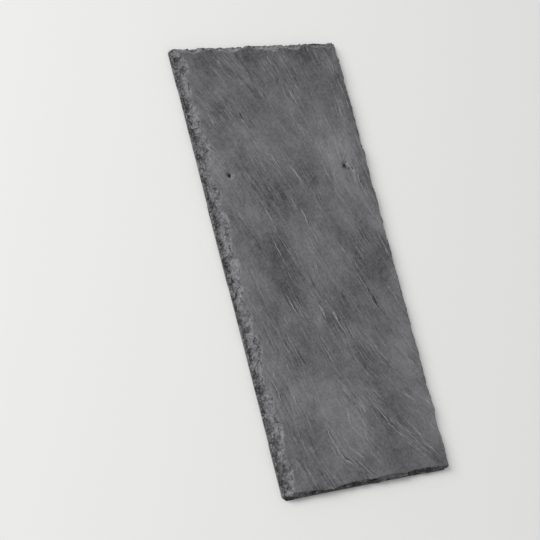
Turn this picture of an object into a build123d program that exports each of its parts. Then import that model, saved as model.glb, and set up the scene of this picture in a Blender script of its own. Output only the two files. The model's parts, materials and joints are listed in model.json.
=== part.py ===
"""Slate roof tile: one rectangular roofing slate with dressed edges and two nail holes.

Sizes are in millimetres. The origin is the middle of the flat bed face. X runs across the
slate, Y from the tail to the head, and Z rises out of the weather face.
"""

import os
from math import sqrt

from build123d import *

# Slab
WIDTH = 254.0
LENGTH = 559.0
THICKNESS = 11.0

# Trimmed outline: short straight cuts, each a little inside the full rectangle
CUT_LENGTH = 58.0
CUT_WANDER = 0.9
CORNER_NIP = 4.0

# Punched nail holes, each with a saucer broken out round its mouth
HOLE_DIAMETER = 5.0
HOLE_FROM_HEAD = 165.0
HOLE_FROM_SIDE = 38.0
SAUCER_DIAMETER = 14.0
SAUCER_DEPTH = 2.2

# Flake scars of the dressed edges: spacing, reach over the face, length along the edge,
# and the part of the thickness that they take
LEFT_PITCH = 19.0
LEFT_REACH = 15.5
LEFT_FLAKE = 39.0
LEFT_DROP = 0.46

RIGHT_PITCH = 24.0
RIGHT_REACH = 4.0
RIGHT_FLAKE = 44.0
RIGHT_DROP = 0.30

TAIL_PITCH = 15.0
TAIL_REACH = 4.0
TAIL_FLAKE = 26.0
TAIL_DROP = 0.42

HEAD_PITCH = 19.0
HEAD_REACH = 8.5
HEAD_FLAKE = 36.0
HEAD_DROP = 0.48

# How far a flake's size strays from the average, and how far it strays from its place
FLAKE_SPREAD = 0.36
PITCH_SPREAD = 0.30

# Thin layers split off flat along the tail
LAYER_PITCH = 70.0
LAYER_LENGTH = 92.0
LAYER_REACH = 6.0
LAYER_DEPTH = 1.5

GOLDEN_SHARE = 0.6180339887
LYING_ON_PLANE = (Align.CENTER, Align.CENTER, Align.MIN)


def scatter(number, phase):
    """A value from -1 to 1 that wanders evenly from one number to the next."""
    return 2 * ((number * GOLDEN_SHARE + phase) % 1.0) - 1


class Edge:
    """One side of the slate, followed anticlockwise, with its inward direction."""

    def __init__(self, start, along, length):
        self.start = Vector(*start)
        self.along = Vector(*along)
        self.inward = Vector(0, 0, 1).cross(self.along)
        self.length = length

    def place(self, distance, inset=0.0, height=0.0):
        return self.start + self.along * distance + self.inward * inset + Vector(0, 0, height)


LEFT = Edge((-WIDTH / 2, LENGTH / 2), (0, -1), LENGTH)
TAIL = Edge((-WIDTH / 2, -LENGTH / 2), (1, 0), WIDTH)
RIGHT = Edge((WIDTH / 2, -LENGTH / 2), (0, 1), LENGTH)
HEAD = Edge((WIDTH / 2, LENGTH / 2), (-1, 0), WIDTH)


def trimmed_outline():
    """The bed outline: uneven straight cuts between four nipped corners."""
    points = []
    for order, edge in enumerate((LEFT, TAIL, RIGHT, HEAD)):
        points.append(edge.place(CORNER_NIP * (1 + 0.4 * scatter(order, 0.3))))
        cuts = max(2, round(edge.length / CUT_LENGTH))
        for number in range(1, cuts):
            distance = (number + 0.25 * scatter(number, 0.7)) * edge.length / cuts
            inset = CUT_WANDER * (1 + scatter(2 * number + order, 0.1)) / 2
            points.append(edge.place(distance, inset))
        points.append(edge.place(edge.length - CORNER_NIP * (1 + 0.4 * scatter(order, 0.8))))
    return points


def strike(edge, distance, reach, flake, drop):
    """Take one shell-shaped flake off the top of an edge with a ball.

    The ball meets the face at the reach, the side at the drop, and the top of the edge at
    both ends of the flake.
    """
    half = flake / 2
    inset = (reach**2 - half**2) / (2 * reach)
    rise = (half**2 - drop**2) / (2 * drop)
    radius = sqrt(inset**2 + rise**2 + half**2)
    middle = edge.place(distance, inset, THICKNESS + rise)
    with Locations(Plane(middle, x_dir=(0, 0, 1), z_dir=edge.along)):
        Sphere(radius, mode=Mode.SUBTRACT)


def dress(edge, pitch, reach, flake, drop_share, phase):
    """Strike flakes along a whole edge, uneven in size and spacing."""
    count = max(1, round(edge.length / pitch))
    for number in range(count):
        distance = (number + 0.5 + PITCH_SPREAD * scatter(3 * number, phase)) * edge.length / count
        size = 1 + FLAKE_SPREAD * scatter(number, phase)
        drop = THICKNESS * drop_share * (1 + FLAKE_SPREAD / 2 * scatter(2 * number, phase))
        strike(edge, distance, reach * size, flake * size, drop)


def split_layers(edge, pitch, length, reach, depth):
    """Lift thin flat layers off the face along an edge, each with a curved back line."""
    radius = (length**2 / 4 + reach**2) / (2 * reach)
    count = max(1, round(edge.length / pitch))
    for number in range(count):
        distance = (number + 0.5 + PITCH_SPREAD * scatter(number, 0.2)) * edge.length / count
        middle = edge.place(distance, reach - radius, THICKNESS - depth)
        with Locations(Plane(middle, x_dir=edge.inward * -1, z_dir=(0, 0, 1))):
            Cylinder(radius, 2 * depth, align=LYING_ON_PLANE, mode=Mode.SUBTRACT)


with BuildPart() as slate:
    with BuildSketch():
        with BuildLine():
            Polyline(*trimmed_outline(), close=True)
        make_face()
    extrude(amount=THICKNESS)

    split_layers(TAIL, LAYER_PITCH, LAYER_LENGTH, LAYER_REACH, LAYER_DEPTH)
    dress(LEFT, LEFT_PITCH, LEFT_REACH, LEFT_FLAKE, LEFT_DROP, 0.15)
    dress(TAIL, TAIL_PITCH, TAIL_REACH, TAIL_FLAKE, TAIL_DROP, 0.65)
    dress(RIGHT, RIGHT_PITCH, RIGHT_REACH, RIGHT_FLAKE, RIGHT_DROP, 0.40)
    dress(HEAD, HEAD_PITCH, HEAD_REACH, HEAD_FLAKE, HEAD_DROP, 0.90)

    saucer_radius = (SAUCER_DIAMETER**2 / 4 + SAUCER_DEPTH**2) / (2 * SAUCER_DEPTH)
    hole_side = WIDTH / 2 - HOLE_FROM_SIDE
    hole_row = LENGTH / 2 - HOLE_FROM_HEAD
    with Locations((-hole_side, hole_row), (hole_side, hole_row)):
        Hole(HOLE_DIAMETER / 2)
        with Locations((0, 0, THICKNESS - SAUCER_DEPTH + saucer_radius)):
            Sphere(saucer_radius, mode=Mode.SUBTRACT)

slate.part.label = "slate"
os.makedirs("parts", exist_ok=True)
export_step(slate.part, "parts/slate.step")
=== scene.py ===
"""Looks of the slate roof tile: its riven face, its dressed edges and a plain studio.

Everything is in metres, in the slate's own frame: X across, Y from tail to head, Z out of the face.
"""

import json
import math

import bmesh
import bpy
from mathutils import Matrix, Vector


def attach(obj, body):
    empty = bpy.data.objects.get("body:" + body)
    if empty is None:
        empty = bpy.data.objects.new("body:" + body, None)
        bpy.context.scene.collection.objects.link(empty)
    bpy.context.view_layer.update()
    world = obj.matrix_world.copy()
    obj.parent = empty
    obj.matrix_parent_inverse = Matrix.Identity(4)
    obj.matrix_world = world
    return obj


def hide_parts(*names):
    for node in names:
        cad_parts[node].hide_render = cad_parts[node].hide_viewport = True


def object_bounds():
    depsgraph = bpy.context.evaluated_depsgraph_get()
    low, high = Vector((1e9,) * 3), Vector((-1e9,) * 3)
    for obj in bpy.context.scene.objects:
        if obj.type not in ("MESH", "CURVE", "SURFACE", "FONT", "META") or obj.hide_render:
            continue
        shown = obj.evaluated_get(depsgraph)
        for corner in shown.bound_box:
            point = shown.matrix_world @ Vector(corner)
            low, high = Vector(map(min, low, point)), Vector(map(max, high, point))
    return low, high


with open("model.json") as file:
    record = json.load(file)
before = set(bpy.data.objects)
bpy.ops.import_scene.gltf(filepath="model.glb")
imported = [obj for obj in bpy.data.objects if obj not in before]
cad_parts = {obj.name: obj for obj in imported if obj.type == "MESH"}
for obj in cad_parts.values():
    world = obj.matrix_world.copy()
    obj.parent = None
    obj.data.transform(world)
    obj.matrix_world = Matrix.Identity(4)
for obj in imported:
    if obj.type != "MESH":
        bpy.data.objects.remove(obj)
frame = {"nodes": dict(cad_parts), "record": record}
solid_low, solid_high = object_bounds()

MM = 0.001

# The slate's left side, tail and face, and its nail holes, from the frame
LEFT_SIDE = solid_low[0]
TAIL = solid_low[1]
FACE = solid_high[2]
nail_holes = next(mount for mount in frame["record"]["mounts"] if mount["name"] == "nail_holes")
NAIL_SIDE = nail_holes["dims"]["spacing_x_mm"] / 2 * MM
NAIL_ROW = nail_holes["pos_m"][1]

# Mesh of the slate
VOXEL = 0.7 * MM
MERGE_DISTANCE = 0.001 * MM
TRIANGLES = 190000
SHARP_ANGLE = math.radians(38)

# Heights and depths of the relief, which are the named inputs of its node tree. The least depth
# is taken off those above it together, so that the highest points lie at the solid's face. The
# seed is how far above the slate its patterns are read, in metres.
RELIEF = {
    "Face Height": FACE,
    "Scarp Height": 0.42 * MM,
    "Fibre Depth": 0.18 * MM,
    "Mottle Depth": 0.16 * MM,
    "Swell Depth": 0.5 * MM,
    "Least Depth": 0.40 * MM,
    "Ledge Height": 1.3 * MM,
    "Chunk Depth": 0.7 * MM,
    "Chunk Tilt": 1.2 * MM,
    "Plate Depth": 2.2 * MM,
    "Split Depth": 1.2 * MM,
    "Seed": 0.35,
}

# Marks that the relief leaves on the mesh, for the colour to follow
MARKS = ("broken", "wall", "plate")

# Noise runs from 0 to 1
MIDDLE = 0.5

# Grain of the cleavage, as seen on the weather face. It turns from steep on the left of the
# face to flatter on the right, most of all about the fan's middle, which is a place along Y.
GRAIN_SLOPE = 0.47
GRAIN_FAN = 2.7
FAN_MIDDLE = -160 * MM
FAN_LENGTH = 120 * MM
GRAIN_WANDER = 26 * MM
GRAIN_WANDER_SIZE = 110 * MM
GRAIN_WOBBLE = 5.8 * MM
GRAIN_WOBBLE_SIZE = 8.5 * MM

# Scarps between the layers of the face. They rise in patches where a noise is high. Where it is
# far enough below its middle they fall, by a smaller share, and elsewhere there are none.
# Patterns along the grain with different seats don't match each other.
SCARP_SPACING = 7.5 * MM
SCARP_PHASE = 0.88
SCARP_DROP = (0.86, 1.0)
TANGLE = 5.0
TANGLE_WIDTH = 26 * MM
TANGLE_LENGTH = 150 * MM
TANGLE_SEAT = 3.7
PATCH_WIDTH = 13 * MM
PATCH_LENGTH = 60 * MM
PATCH_SEAT = 9.0
RISING_PATCH = (0.48, 0.62)
FALLING_PATCH = (0.08, 0.20)
FALLING_SHARE = 0.7

# Finer unevenness of the face
STREAK_WIDTH = 4.5 * MM
STREAK_LENGTH = 60 * MM
STREAK_SEAT = 6.1
FIBRE_WIDTH = 1.7 * MM
FIBRE_LENGTH = 26 * MM
FIBRE_SEAT = 1.3
SWELL_SIZE = 90 * MM
MOTTLE_SIZE = 3.2 * MM

# Depths below the face at which its rim starts to waver and turns into broken stone, the height
# over which the plain bed ends, and how squarely a surface faces down or up
RIM_WOBBLE = 1.8 * MM
RIM_START = (0.03 * MM, 0.15 * MM)
FACE_RIM = (0.15 * MM, 0.6 * MM)
BED_RIM = (0.1 * MM, 0.5 * MM)
DOWNWARD = (0.3, 0.8)
UPWARD = (0.35, 0.7)

# Broken stone of the dressed edges: chunks, ledges and flat plates on top, splits in the sides
CHUNK_SIZE = 6.0 * MM
LEDGE_WANDER = 4.0
LEDGE_RISER = (0.5, 1.0)
LEDGE_SHARE = 0.6
PLATE_SIZE = 8.0 * MM
PLATE_HEIGHT = 2.4 * MM
PLATE_WARP = 5.0 * MM
SPLIT_HEIGHT = 1.3 * MM
SPLIT_LENGTH = 22 * MM
SPLIT_SHARE = (0.38, 0.62)

# Size of the noises that sway a plate's outline, as shares of the plate's size
SWAY_ACROSS = 0.8
SWAY_ALONG = 0.6

# Broken stone is held back round the nail holes, to this share of its depth beside them
NAIL_CALM = (6 * MM, 11 * MM)
NAIL_SHARE = 0.15

# Patterns of the colour alone. Two numbers in brackets are the part of a noise's range over
# which a pattern comes in.
CLOUD_WIDTH = 62 * MM
CLOUD_LENGTH = 95 * MM
CLOUD_SEAT = 8.3
LIVELY_WIDTH = 40 * MM
LIVELY_LENGTH = 110 * MM
LIVELY_SEAT = 2.0
LIVELY_SHARE = (0.36, 0.62)
LIVELY_LEAST = 0.2
LIVELY_LOSS_BESIDE_SCARS = 0.55
# Patchy strength of the painted highlights and shadows on the scarps
PATCHY_SIZE = 7 * MM
PATCHY_SHARE = (0.36, 0.62)
PATCHY_LEAST = 0.1
PATCHY_SPAN = 1.3
BLOTCH_SIZE = 18 * MM
FLECK_SIZE = 1.4 * MM
GRIT_SIZE = 2.6 * MM
STAIN_HEIGHT = 0.6 * SPLIT_HEIGHT
SEAM_LENGTH = 24 * MM
SEAM_HEIGHT = 3.4 * MM
SEAM_EDGE = (0.012, 0.06)
GLINT_FIBRE = (0.60, 0.74)
GLINT_STREAK = (0.45, 0.65)
PLATE_SHARE = (0.45, 1.0)

# Painted highlight on the rim and painted shadow at the foot of a scarp, as if each step were lit
# from one side: where each starts and ends on the way across a layer
RIM_RISE = (0.77, 0.86)
RIM_FALL = (0.88, 0.94)
FOOT_RISE = (0.90, 0.95)
FOOT_FALL = (0.96, 1.0)

# Where the tone changes, inward from the left side, up from the tail or down from the face
# The outer rim of the left side carries painted shade, as in a gap between slates
OUTER_RIM = (0.2 * MM, 8 * MM)
BESIDE_SCARS = (8 * MM, 39 * MM)
# Broken stone near the tail is darker: partly dirt, partly painted shade
TAIL_DIRT_AND_SHADE = (3 * MM, 8 * MM)
NEAR_TAIL = (3.5 * MM, 64.5 * MM)
# The face is paler below this span than above it: the upper face carries the painted shade of the
# course above
COURSE_SHADE = (114.5 * MM, 224.5 * MM)
# Broken stone far below the face is darker, as painted shade low on the edges
DEEP = (3.2 * MM, 5.4 * MM)

# Tone of the face, by which the colour is multiplied, and what each pattern adds to it or
# takes from it. A noise has its whole swing here.
SLATE_COLOUR = (0.112, 0.112, 0.117)
DARKEST_TONE = 0.16
PALEST_TONE = 1.95
FACE_TONE = 0.96
# How much paler the face is below the painted shade of the course above
COURSE_SHADE_TONE = 0.17
BESIDE_SCARS_TONE = 0.06
BESIDE_SCARS_BLOTCH = 0.5
NEAR_TAIL_TONE = 0.28
CLOUD_TONE = 2.0
BLOTCH_TONE = 0.9
STREAK_TONE = 0.55
FIBRE_TONE = 1.5
GLINT_TONE = 0.8
MOTTLE_TONE = 1.0
FLECK_TONE = 0.8
# Painted highlight on each scarp's rim and painted shadow at its foot
RIM_HIGHLIGHT_TONE = 2.1
FOOT_SHADOW_TONE = 1.0

# Tone of the broken stone, in the same way
SCAR_TONE = 1.40
# Painted shade on the outer rim of the left side, with the grit's contrast raised there
OUTER_SHADE_TONE = 0.62
GRIT_TONE = 3.0
OUTER_GRIT_TONE = 2.4
CHIP_TONE = 0.9
# Painted shade on broken stone far below the face, more on plates there
DEEP_SHADE_TONE = 0.10
PLATE_TONE = 0.05
DEEP_PLATE_SHADE_TONE = 0.40
# Darkening of the broken stone at the tail: partly dirt, partly painted shade
TAIL_DIRT_AND_SHADE_TONE = 0.50
STAIN_TONE = 1.8
# Dark seams on the broken stone: painted shade in the cracks between layers, strongest on the sides
# and at the tail
SEAM_SHADE_TONE = 0.14
WALL_SEAM_SHADE_TONE = 0.35
TAIL_SEAM_SHADE_TONE = 0.5

# Roughness, and what broken stone, dirt and seams add to it
STONE_ROUGHNESS = 0.62
FLECK_ROUGHNESS = 0.2
BROKEN_ROUGHNESS = 0.15
DIRT_ROUGHNESS = 0.13
SEAM_ROUGHNESS = 0.1
STONE_SPECULAR = 0.3

# Heights of the bump, as shares of its distance
BUMP_DISTANCE = MM
RIM_BUMP = 0.12
FIBRE_BUMP = 0.15
MOTTLE_BUMP = 0.10
BROKEN_MOTTLE_BUMP = 0.5
FLECK_BUMP = 0.08
BROKEN_FLECK_BUMP = 0.3
STAIN_BUMP = 0.6

# Studio: a pale floor, one large lamp, and a sky with one strength as light and another as it
# is seen behind the slate
FLOOR_HALF = 6.0
FLOOR_COLOUR = (0.78, 0.78, 0.77, 1.0)
FLOOR_ROUGHNESS = 0.9
LAMP_PLACE = Vector((-4.2, 2.0, 3.0))
LAMP_SIZE = 3.1
LAMP_WATTS = 300
SKY_COLOUR = (1.0, 1.0, 1.0, 1.0)
SKY_LIGHT = 0.5
SKY_SEEN = 0.85

# The photograph's view of the slate, aimed at a point of its face
CAMERA_AIM = Vector((-67.8 * MM, -6.7 * MM, FACE))
CAMERA_DISTANCE = 2.620
CAMERA_AZIMUTH = math.radians(-73.5)
CAMERA_ELEVATION = math.radians(51.2)
CAMERA_ROLL = math.radians(-62.4)
CAMERA_LENS = 146.7
CAMERA_SENSOR = 36.0


class Value:
    """A number or vector inside a node tree. Arithmetic on it adds Math nodes."""

    def __init__(self, graph, socket):
        self.graph = graph
        self.socket = socket

    def __add__(self, other):
        return self.graph.math("ADD", self, other)

    def __radd__(self, other):
        return self.graph.math("ADD", other, self)

    def __sub__(self, other):
        return self.graph.math("SUBTRACT", self, other)

    def __rsub__(self, other):
        return self.graph.math("SUBTRACT", other, self)

    def __mul__(self, other):
        return self.graph.math("MULTIPLY", self, other)

    def __rmul__(self, other):
        return self.graph.math("MULTIPLY", other, self)

    def __truediv__(self, other):
        return self.graph.math("DIVIDE", self, other)

    def __rtruediv__(self, other):
        return self.graph.math("DIVIDE", other, self)

    def __pow__(self, other):
        return self.graph.math("POWER", self, other)

    def __neg__(self):
        return self.graph.math("MULTIPLY", self, -1.0)

    def also(self, output):
        """Another output of the node that this value comes from."""
        return Value(self.graph, self.socket.node.outputs[output])


def swing(noise, span):
    """Noise that swings evenly about 0, over the given span."""
    return (noise - MIDDLE) * span


class Graph:
    """A node tree being built."""

    def __init__(self, tree):
        self.tree = tree

    def node(self, kind, settings=None, sockets=None, output=0):
        """Add one node: its settings first, then the values or links of its sockets."""
        node = self.tree.nodes.new(kind)
        for name, value in (settings or {}).items():
            setattr(node, name, value)
        for name, value in (sockets or {}).items():
            if isinstance(value, Value):
                self.tree.links.new(value.socket, node.inputs[name])
            else:
                node.inputs[name].default_value = value
        return Value(self, node.outputs[output])

    def feed(self, value, socket):
        """Link a value to a socket of a node that is already there."""
        self.tree.links.new(value.socket, socket)

    def math(self, operation, *numbers):
        return self.node("ShaderNodeMath", {"operation": operation}, dict(enumerate(numbers)))

    def vectors(self, operation, *vectors, output=0):
        """Vector maths on whole vectors."""
        settings = {"operation": operation}
        return self.node("ShaderNodeVectorMath", settings, dict(enumerate(vectors)), output)

    def scaled(self, vector, factor):
        """A vector or colour times a number."""
        settings = {"operation": "SCALE"}
        return self.node("ShaderNodeVectorMath", settings, {0: vector, "Scale": factor})

    def vector(self, x=0.0, y=0.0, z=0.0):
        return self.node("ShaderNodeCombineXYZ", {}, {"X": x, "Y": y, "Z": z})

    def axis(self, vector, name):
        return self.node("ShaderNodeSeparateXYZ", {}, {0: vector}, name)

    def step(self, value, span):
        """0 below the span, 1 above it and an even S-curve between."""
        low, high = span
        return self.node(
            "ShaderNodeMapRange",
            {"interpolation_type": "SMOOTHSTEP"},
            {"Value": value, "From Min": low, "From Max": high, "To Min": 0.0, "To Max": 1.0},
        )

    def fall(self, value, span):
        """1 below the span, 0 above it and an even S-curve between."""
        return 1.0 - self.step(value, span)

    def noise(self, place, size=1.0, detail=2.0, roughness=0.5):
        """Cloudy noise, from 0 to 1, with features of about the given size."""
        return self.node(
            "ShaderNodeTexNoise",
            {"noise_dimensions": "3D"},
            {"Vector": place, "Scale": 1.0 / size, "Detail": detail, "Roughness": roughness},
        )

    def layered(self, place, length, height, detail=3.0):
        """Flat-lying layers of stone, as noise from 0 to 1."""
        flat = self.vector(
            self.axis(place, "X") / length,
            self.axis(place, "Y") / length,
            self.axis(place, "Z") / height,
        )
        return self.noise(flat, detail=detail, roughness=0.6)

    def cell(self, place, size=1.0):
        """The cell that a place lies in, as a colour that differs from cell to cell."""
        sockets = {"Vector": place, "Scale": 1.0 / size}
        return self.node("ShaderNodeTexVoronoi", {}, sockets, "Color")

    def chips(self, place, size):
        """A value from 0 to 1 for each chip of broken stone."""
        return self.axis(self.cell(place, size), "X")

    def chip_tilt(self, place, size):
        """How far a chip's flat top leans up or down at a place."""
        chip = self.cell(place, size)
        lean = self.vectors("SUBTRACT", chip, (MIDDLE, MIDDLE, MIDDLE))
        away = self.vectors("SUBTRACT", place, chip.also("Position"))
        return self.vectors("DOT_PRODUCT", lean, away, output="Value") / size

    def plates(self, place, size, height, warp):
        """A value from 0 to 1 for each of many flat plates with uneven outlines."""
        sway_x = swing(self.noise(place, size * SWAY_ACROSS), warp)
        sway_y = swing(self.noise(place, size * SWAY_ALONG), warp)
        flat = self.vector(
            (self.axis(place, "X") + sway_x) / size,
            (self.axis(place, "Y") + sway_y) / size,
            self.axis(place, "Z") / height,
        )
        return self.axis(self.cell(flat), "X")


class Grain:
    """The cleavage pattern at a place. The relief and the colour are both drawn from it."""

    def __init__(self, graph, place):
        self.graph = graph
        x = graph.axis(place, "X")
        y = graph.axis(place, "Y")
        fan = graph.math("SINE", (y - FAN_MIDDLE) / FAN_LENGTH) * (GRAIN_FAN * FAN_LENGTH)
        wander = swing(graph.noise(place, GRAIN_WANDER_SIZE, detail=1.0), GRAIN_WANDER)
        wobble = swing(graph.noise(place, GRAIN_WOBBLE_SIZE), GRAIN_WOBBLE)
        self.along = y - x * GRAIN_SLOPE
        self.across = x + y * GRAIN_SLOPE + x * fan + wander + wobble

    def noise(self, width, length, seat, detail=2.0, roughness=0.5):
        """Noise drawn out along the grain, of the given width and length."""
        place = self.graph.vector(self.across / width, self.along / length, seat)
        return self.graph.noise(place, detail=detail, roughness=roughness)

    def scarp(self):
        """Share of the way across a layer, from one scarp to the next."""
        tangle = self.noise(TANGLE_WIDTH, TANGLE_LENGTH, TANGLE_SEAT) * TANGLE
        return self.graph.math("FRACT", self.across / SCARP_SPACING + tangle + SCARP_PHASE)

    def scarp_strength(self):
        """How strongly scarps show: above 0 where they rise, below 0 where they fall."""
        patch = self.noise(PATCH_WIDTH, PATCH_LENGTH, PATCH_SEAT)
        falling = self.graph.step(MIDDLE - patch, FALLING_PATCH) * FALLING_SHARE
        return self.graph.step(patch, RISING_PATCH) - falling

    def streak(self):
        """Bands along the grain."""
        return self.noise(STREAK_WIDTH, STREAK_LENGTH, STREAK_SEAT, detail=1.0)

    def fibre(self):
        """Fine threads along the grain."""
        return self.noise(FIBRE_WIDTH, FIBRE_LENGTH, FIBRE_SEAT, roughness=0.6)


def face_depth(graph, given, place):
    """How far the riven face lies below the solid's: scarps, threads, mottle and slow swells."""
    grain = Grain(graph, place)
    part = grain.scarp()
    rise = (graph.step(part, SCARP_DROP) - part) * grain.scarp_strength()
    depth = (
        (1.0 - rise) * given["Scarp Height"]
        + grain.fibre() * given["Fibre Depth"]
        + graph.noise(place, MOTTLE_SIZE) * given["Mottle Depth"]
        + graph.noise(place, SWELL_SIZE, detail=1.0) * given["Swell Depth"]
        - given["Least Depth"]
    )
    return graph.math("MAXIMUM", depth, 0.0)


def ledge_rise(graph, given, height, chunk):
    """Uneven small ledges, one above the other, down the broken edges."""
    inside = graph.math("FRACT", height / given["Ledge Height"] + chunk * LEDGE_WANDER)
    return (graph.step(inside, LEDGE_RISER) - inside) * given["Ledge Height"] * LEDGE_SHARE


def crumbled_depth(graph, given, place, chunk):
    """How much has crumbled off the top of the broken edges, in tilted chips."""
    tilt = graph.chip_tilt(place, CHUNK_SIZE)
    depth = (1.0 - chunk) * given["Chunk Depth"] + tilt * given["Chunk Tilt"]
    return graph.math("MAXIMUM", depth, 0.0)


def away_from_nails(graph, place):
    """1 away from the nail holes, and much less beside them, so that they stay round."""
    from_side = graph.math("ABSOLUTE", graph.axis(place, "X")) - NAIL_SIDE
    from_row = graph.axis(place, "Y") - NAIL_ROW
    from_nail = (from_side * from_side + from_row * from_row) ** 0.5
    return graph.step(from_nail, NAIL_CALM) * (1.0 - NAIL_SHARE) + NAIL_SHARE


def new_group(name, numbers):
    """A geometry node tree with a mesh input and output and the named number inputs."""
    tree = bpy.data.node_groups.new(name, "GeometryNodeTree")
    tree.interface.new_socket("Mesh", in_out="INPUT", socket_type="NodeSocketGeometry")
    for label in numbers:
        tree.interface.new_socket(label, in_out="INPUT", socket_type="NodeSocketFloat")
    tree.interface.new_socket("Mesh", in_out="OUTPUT", socket_type="NodeSocketGeometry")
    return tree


def riven_relief(material):
    """Node tree that gives the smooth solid its cleft face, broken edges and split sides."""
    tree = new_group("riven relief", RELIEF)
    graph = Graph(tree)
    entry = tree.nodes.new("NodeGroupInput")
    given = {socket.name: Value(graph, socket) for socket in entry.outputs if socket.name}
    place = graph.node("GeometryNodeInputPosition")
    normal = graph.node("GeometryNodeInputNormal")
    height = graph.axis(place, "Z")
    facing = graph.axis(normal, "Z")
    seeded = graph.vectors("ADD", place, graph.vector(z=given["Seed"]))

    chunk = graph.noise(seeded, CHUNK_SIZE, detail=3.0, roughness=0.6)
    drop = given["Face Height"] - height
    below = drop + swing(chunk, RIM_WOBBLE) * graph.step(drop, RIM_START)
    face = graph.fall(below, FACE_RIM)
    bed = graph.fall(height, BED_RIM) * graph.step(-facing, DOWNWARD)
    broken = (1.0 - face) * (1.0 - bed)
    upward = graph.step(facing, UPWARD)
    top = broken * upward
    wall = broken * (1.0 - upward)
    plate = graph.plates(seeded, PLATE_SIZE, PLATE_HEIGHT, PLATE_WARP)
    split = graph.step(graph.layered(seeded, SPLIT_LENGTH, SPLIT_HEIGHT), SPLIT_SHARE)

    push = top * crumbled_depth(graph, given, seeded, chunk) + wall * split * given["Split Depth"]
    push = (push + broken * plate * given["Plate Depth"]) * away_from_nails(graph, place)
    ledge = ledge_rise(graph, given, height, chunk)
    lift = graph.vector(z=top * ledge - face * face_depth(graph, given, seeded))
    offset = graph.vectors("ADD", graph.scaled(normal, -push), lift)

    shape = given["Mesh"]
    for mark, value in zip(MARKS, (broken, wall, plate)):
        shape = graph.node(
            "GeometryNodeStoreNamedAttribute",
            {"data_type": "FLOAT", "domain": "POINT"},
            {"Geometry": shape, "Name": mark, "Value": value},
        )
    shape = graph.node("GeometryNodeSetPosition", {}, {"Geometry": shape, "Offset": offset})
    shape = graph.node("GeometryNodeRealizeInstances", {}, {"Geometry": shape})
    shape = graph.node("GeometryNodeSetMaterial", {}, {"Geometry": shape, "Material": material})
    graph.feed(shape, tree.nodes.new("NodeGroupOutput").inputs["Mesh"])
    return tree


def new_object(name, data):
    """A new object in the scene, at the origin."""
    thing = bpy.data.objects.new(name, data)
    bpy.context.scene.collection.objects.link(thing)
    return thing


def merged_copy(node):
    """A copy of a CAD node's mesh, with its loose triangles joined."""
    mesh = node.data.copy()
    mesh.materials.clear()
    shape = bmesh.new()
    shape.from_mesh(mesh)
    bmesh.ops.remove_doubles(shape, verts=shape.verts, dist=MERGE_DISTANCE)
    shape.to_mesh(mesh)
    shape.free()
    return mesh


def set_inputs(modifier, values):
    """Set a node modifier's named inputs by their identifiers."""
    for item in modifier.node_group.interface.items_tree:
        if item.item_type == "SOCKET" and item.in_out == "INPUT" and item.name in values:
            modifier[item.identifier] = values[item.name]


def settle(piece):
    """Apply the piece's modifiers and leave it a plain mesh."""
    bpy.context.view_layer.update()
    evaluated = piece.evaluated_get(bpy.context.evaluated_depsgraph_get())
    plain = bpy.data.meshes.new_from_object(evaluated)
    piece.modifiers.clear()
    old = piece.data
    piece.data = plain
    bpy.data.meshes.remove(old)


def riven_slate(node, material):
    """The slate as a dense mesh with its cleft relief."""
    piece = new_object("riven_slate", merged_copy(node))
    even = piece.modifiers.new("even mesh", "REMESH")
    even.mode = "VOXEL"
    even.voxel_size = VOXEL
    relief = piece.modifiers.new("riven relief", "NODES")
    relief.node_group = riven_relief(material)
    set_inputs(relief, RELIEF)
    settle(piece)

    triangles = sum(len(face.vertices) - 2 for face in piece.data.polygons)
    if triangles > TRIANGLES:
        thin = piece.modifiers.new("thin out", "DECIMATE")
        thin.ratio = TRIANGLES / triangles
        settle(piece)
    piece.data.shade_smooth()
    piece.data.set_sharp_from_angle(angle=SHARP_ANGLE)
    return piece


def new_material(name):
    """A material, its shader, and the graph that its patterns are built in."""
    material = bpy.data.materials.new(name)
    material.use_nodes = True
    return material, material.node_tree.nodes["Principled BSDF"], Graph(material.node_tree)


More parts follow.
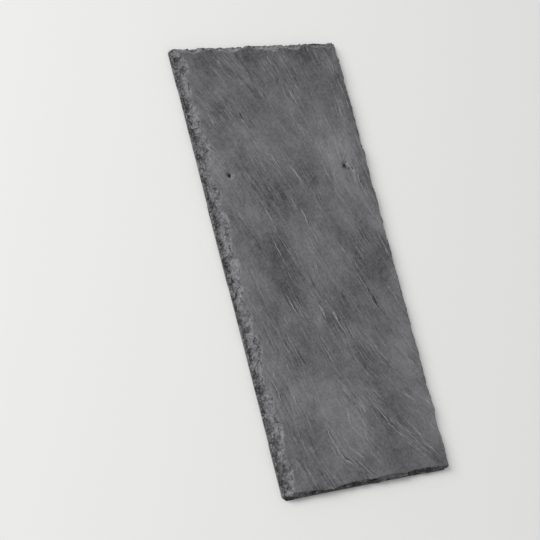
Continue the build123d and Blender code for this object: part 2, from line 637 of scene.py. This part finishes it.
class Stone:
    """Tone, roughness and fine relief of the slate, from patterns over its whole surface."""

    def __init__(self, graph):
        self.graph = graph
        self.place = graph.node("ShaderNodeTexCoord", {}, {}, "Object")
        self.seeded = graph.vectors("ADD", self.place, (0.0, 0.0, RELIEF["Seed"]))
        self.from_left = graph.axis(self.place, "X") - LEFT_SIDE
        self.from_tail = graph.axis(self.place, "Y") - TAIL
        self.broken, self.wall, self.plate = (
            graph.node("ShaderNodeAttribute", {"attribute_name": mark}, {}, "Fac") for mark in MARKS
        )
        self.grain = Grain(graph, self.seeded)
        self.fibre = self.grain.fibre()
        self.mottle = graph.noise(self.place, MOTTLE_SIZE, roughness=0.6)
        self.fleck = graph.noise(self.place, FLECK_SIZE, roughness=0.6)
        self.stain = graph.layered(self.seeded, SPLIT_LENGTH, STAIN_HEIGHT)
        # Broken stone near the tail, darkened by dirt and by painted shade
        self.tail_dirt_and_shade = graph.fall(self.from_tail, TAIL_DIRT_AND_SHADE)
        # Seams between the layers of broken stone, where shade in the cracks is painted
        lens = graph.layered(self.seeded, SEAM_LENGTH, SEAM_HEIGHT, detail=1.0)
        self.seam = graph.fall(graph.math("ABSOLUTE", lens - MIDDLE), SEAM_EDGE)

        part = self.grain.scarp()
        rising = graph.math("MAXIMUM", self.grain.scarp_strength(), 0.0)
        # Rim and foot of each rising scarp, which carry a painted highlight and a painted shadow
        self.rim = graph.step(part, RIM_RISE) * graph.fall(part, RIM_FALL) * rising
        self.foot = graph.step(part, FOOT_RISE) * graph.fall(part, FOOT_FALL) * rising

    def lines_tone(self, beside_scars):
        """What streaks, threads and scarps add: painted glints on the threads, and a painted
        highlight on each scarp's rim with a painted shadow at its foot. They are lively in patches,
        and the scarps' painted light varies in strength from patch to patch.
        """
        graph = self.graph
        streak = self.grain.streak()
        glint = graph.step(self.fibre, GLINT_FIBRE) * graph.step(streak, GLINT_STREAK)
        patch = self.grain.noise(LIVELY_WIDTH, LIVELY_LENGTH, LIVELY_SEAT, detail=1.0)
        lively = graph.step(patch, LIVELY_SHARE) + LIVELY_LEAST
        lively = lively * (1.0 - beside_scars * LIVELY_LOSS_BESIDE_SCARS)
        # Patchy strength of the scarps' painted highlights and shadows
        patchy = graph.step(graph.noise(self.place, PATCHY_SIZE, roughness=0.6), PATCHY_SHARE)
        patchy = patchy * PATCHY_SPAN + PATCHY_LEAST
        threads = swing(streak, STREAK_TONE) + swing(self.fibre, FIBRE_TONE) + glint * GLINT_TONE
        # Painted highlight on the rim and painted shadow at the foot, of patchy strength
        scarps = (self.rim * RIM_HIGHLIGHT_TONE - self.foot * FOOT_SHADOW_TONE) * patchy
        return (threads + scarps) * lively

    def face_tone(self):
        """Tone of the riven face: cloudy and mottled, with lines along the grain, and darker
        towards the head as painted shade of the course above.
        """
        graph = self.graph
        cloud = self.grain.noise(CLOUD_WIDTH, CLOUD_LENGTH, CLOUD_SEAT, detail=3.0, roughness=0.45)
        blotch = graph.noise(self.place, BLOTCH_SIZE, detail=3.0, roughness=0.6)
        beside_scars = graph.fall(self.from_left, BESIDE_SCARS)
        tone = (
            FACE_TONE
            # The upper face is darker, as painted shade of the course above
            + graph.fall(self.from_tail, COURSE_SHADE) * COURSE_SHADE_TONE
            + beside_scars * (BESIDE_SCARS_TONE + swing(blotch, BESIDE_SCARS_BLOTCH))
            - graph.fall(self.from_tail, NEAR_TAIL) * NEAR_TAIL_TONE
            + swing(cloud, CLOUD_TONE)
            + swing(blotch, BLOTCH_TONE)
            + swing(self.mottle, MOTTLE_TONE)
            + swing(self.fleck, FLECK_TONE)
            + self.lines_tone(beside_scars)
        )
        return graph.math("MINIMUM", tone, PALEST_TONE)

    def scar_tone(self):
        """Tone of the broken stone: paler than the face and gritty, with dark seams painted as
        shade in their cracks, painted shade at the outer left rim and far below the face, and dirt
        with painted shade at the tail.
        """
        graph = self.graph
        # Painted shade along the outer rim of the left side
        outer_shade = graph.fall(self.from_left, OUTER_RIM)
        # Painted shade on broken stone far below the face
        deep_shade = graph.step(FACE - graph.axis(self.place, "Z"), DEEP)
        grit = graph.noise(self.place, GRIT_SIZE, detail=3.0, roughness=0.7)
        tone = (
            SCAR_TONE
            - outer_shade * OUTER_SHADE_TONE
            + swing(grit, GRIT_TONE + outer_shade * OUTER_GRIT_TONE)
            + swing(graph.chips(self.seeded, CHUNK_SIZE), CHIP_TONE)
            - deep_shade * DEEP_SHADE_TONE
            - graph.step(self.plate, PLATE_SHARE) * (PLATE_TONE + deep_shade * DEEP_PLATE_SHADE_TONE)
        )
        # The tail's broken stone is darkened: partly dirt, partly painted shade
        tone = tone * (1.0 - self.tail_dirt_and_shade * TAIL_DIRT_AND_SHADE_TONE)
        tone = tone + swing(self.stain, STAIN_TONE) * self.wall
        # Dark seams, painted as shade in the cracks between layers
        seam_shade = SEAM_SHADE_TONE + self.wall * WALL_SEAM_SHADE_TONE + self.tail_dirt_and_shade * TAIL_SEAM_SHADE_TONE
        return tone - self.seam * seam_shade

    def colour(self):
        """The slate's own colour times the tone of the face or of the broken stone."""
        tone = self.face_tone() * (1.0 - self.broken) + self.scar_tone() * self.broken
        return self.graph.scaled(SLATE_COLOUR, self.graph.math("MAXIMUM", tone, DARKEST_TONE))

    def roughness(self):
        """Matt all over, and most of all where the stone is broken, dirty or seamed."""
        added = BROKEN_ROUGHNESS + self.tail_dirt_and_shade * DIRT_ROUGHNESS + self.seam * SEAM_ROUGHNESS
        return STONE_ROUGHNESS + swing(self.fleck, FLECK_ROUGHNESS) + self.broken * added

    def bump(self):
        """Relief that is too fine for the mesh."""
        height = (
            self.rim * RIM_BUMP
            + self.fibre * FIBRE_BUMP
            + self.mottle * (MOTTLE_BUMP + self.broken * BROKEN_MOTTLE_BUMP)
            + self.fleck * (FLECK_BUMP + self.broken * BROKEN_FLECK_BUMP)
            + self.stain * self.wall * STAIN_BUMP
        )
        sockets = {"Strength": 1.0, "Distance": BUMP_DISTANCE, "Height": height}
        return self.graph.node("ShaderNodeBump", {}, sockets)


def slate_stone():
    """Dark grey slate: streaked and clouded on the face, paler where it is broken."""
    material, shader, graph = new_material("riven slate stone")
    stone = Stone(graph)
    graph.feed(stone.colour(), shader.inputs["Base Color"])
    graph.feed(stone.roughness(), shader.inputs["Roughness"])
    graph.feed(stone.bump(), shader.inputs["Normal"])
    shader.inputs["Specular IOR Level"].default_value = STONE_SPECULAR
    return material


def floor_finish():
    """Pale matt floor."""
    material, shader, _ = new_material("pale floor")
    shader.inputs["Base Color"].default_value = FLOOR_COLOUR
    shader.inputs["Roughness"].default_value = FLOOR_ROUGHNESS
    return material


def studio_floor():
    """A square floor at the height of the slate's bed."""
    mesh = bpy.data.meshes.new("studio_floor")
    signs = ((-1, -1), (1, -1), (1, 1), (-1, 1))
    corners = [(x * FLOOR_HALF, y * FLOOR_HALF, 0.0) for x, y in signs]
    mesh.from_pydata(corners, [], [range(len(corners))])
    mesh.materials.append(floor_finish())
    floor = new_object("studio_floor", mesh)


def key_lamp():
    """One large square lamp that faces the slate."""
    lamp = bpy.data.lights.new("key_lamp", "AREA")
    lamp.shape = "SQUARE"
    lamp.size = LAMP_SIZE
    lamp.energy = LAMP_WATTS
    holder = new_object("key_lamp", lamp)
    holder.location = LAMP_PLACE
    holder.rotation_euler = (-LAMP_PLACE).to_track_quat("-Z", "Y").to_euler()


def studio_sky():
    """A white sky, brighter where it is seen than as light."""
    world = bpy.data.worlds.new("studio sky")
    world.use_nodes = True
    graph = Graph(world.node_tree)
    background = world.node_tree.nodes["Background"]
    background.inputs["Color"].default_value = SKY_COLOUR
    seen = 0.0
    for ray in ("Is Camera Ray", "Is Glossy Ray", "Is Transmission Ray"):
        seen = graph.math("MAXIMUM", seen, graph.node("ShaderNodeLightPath", {}, {}, ray))
    graph.feed(seen * (SKY_SEEN - SKY_LIGHT) + SKY_LIGHT, background.inputs["Strength"])
    bpy.context.scene.world = world


def photograph_camera():
    """The camera at the photograph's angle to the slate."""
    ahead = Vector(
        (
            -math.sin(CAMERA_AZIMUTH) * math.cos(CAMERA_ELEVATION),
            math.cos(CAMERA_AZIMUTH) * math.cos(CAMERA_ELEVATION),
            -math.sin(CAMERA_ELEVATION),
        )
    )
    level = ahead.cross(Vector((0, 0, 1))).normalized()
    right = Matrix.Rotation(-CAMERA_ROLL, 3, -ahead) @ level
    up = right.cross(ahead)
    pose = Matrix((right, up, -ahead)).transposed().to_4x4()
    pose.translation = CAMERA_AIM - ahead * CAMERA_DISTANCE
    camera = bpy.data.cameras.new("camera")
    camera.lens = CAMERA_LENS
    camera.sensor_width = CAMERA_SENSOR
    holder = new_object("camera", camera)
    holder.matrix_world = pose
    bpy.context.scene.camera = holder


slate = riven_slate(frame["nodes"]["slate"], slate_stone())
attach(slate, "root")
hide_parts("slate")

studio_floor()
key_lamp()
studio_sky()
photograph_camera()
bpy.context.scene.view_settings.view_transform = "Standard"
